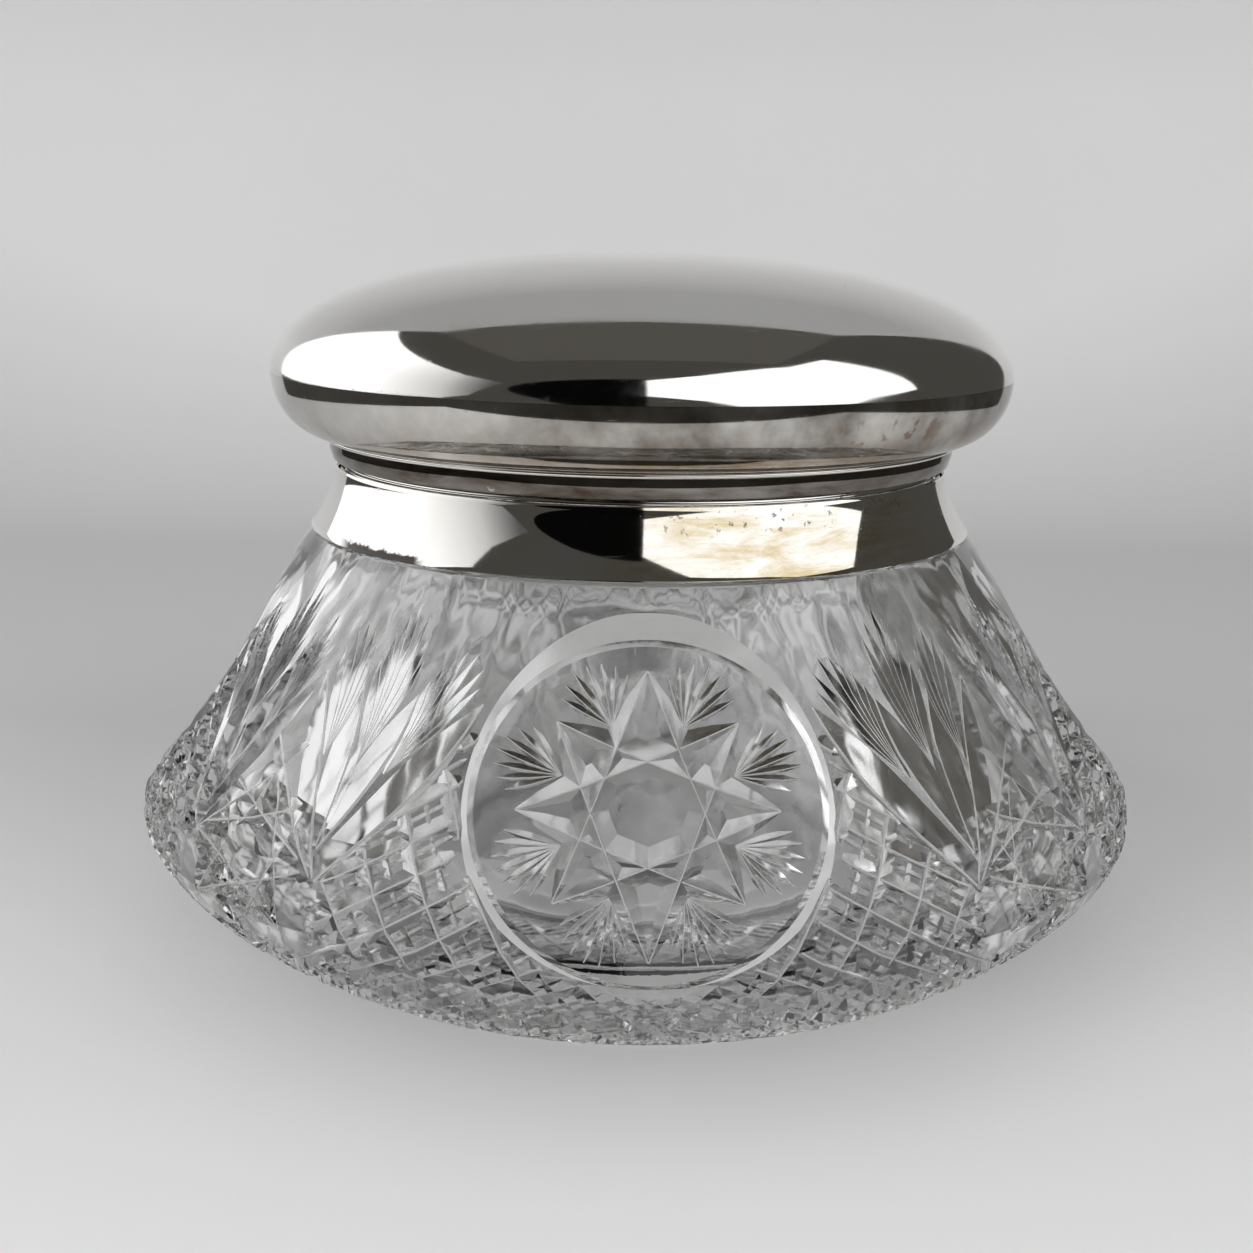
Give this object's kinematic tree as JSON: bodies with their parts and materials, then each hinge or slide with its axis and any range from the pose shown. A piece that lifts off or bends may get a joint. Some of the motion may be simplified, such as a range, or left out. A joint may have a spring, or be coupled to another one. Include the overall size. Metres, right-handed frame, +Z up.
{
  "type": "powder jar",
  "caption": "Squat cone-shaped cut-glass dressing-table powder jar with a plain concave silver collar and a hollow cushion-shaped silver lid that lifts off.",
  "frame": {"origin": "centre of the flat foot ring, on the surface the jar stands on", "axes": "+Z up along the axis of the jar; one round medallion faces -Y"},
  "size_m": [0.1418, 0.1418, 0.0974],
  "materials": {
    "crystal": "clear lead crystal, ground and polished cuts",
    "plaster": "matt cement, hidden between the glass neck and the collar",
    "silver_collar": "polished silver, lightly yellowed and scratched",
    "silver_seat": "silver, rubbed where the lid sits",
    "silver_dome": "mirror-polished silver with fine wear",
    "silver_underside": "polished silver with light tarnish",
    "silver_band": "polished silver with brown tarnish",
    "silver_solder": "drawn silver wire",
    "silver_gilt": "thin gilding on silver, satin"
  },
  "bodies": {
    "jar": {"glass_bowl": "crystal", "plaster_bed": "plaster", "collar_band": "silver_collar", "collar_rim": "silver_seat"},
    "lid": {"lid_dome": "silver_dome", "lid_underside": "silver_underside", "lid_band": "silver_band", "lid_fillet": "silver_solder", "lid_bezel": "silver_gilt"}
  },
  "joints": [
    {"name": "lid_lift", "type": "slide", "parent": "jar", "child": "lid", "axis": [0, 0, 1], "range_m": [0, 0.06]}
  ]
}
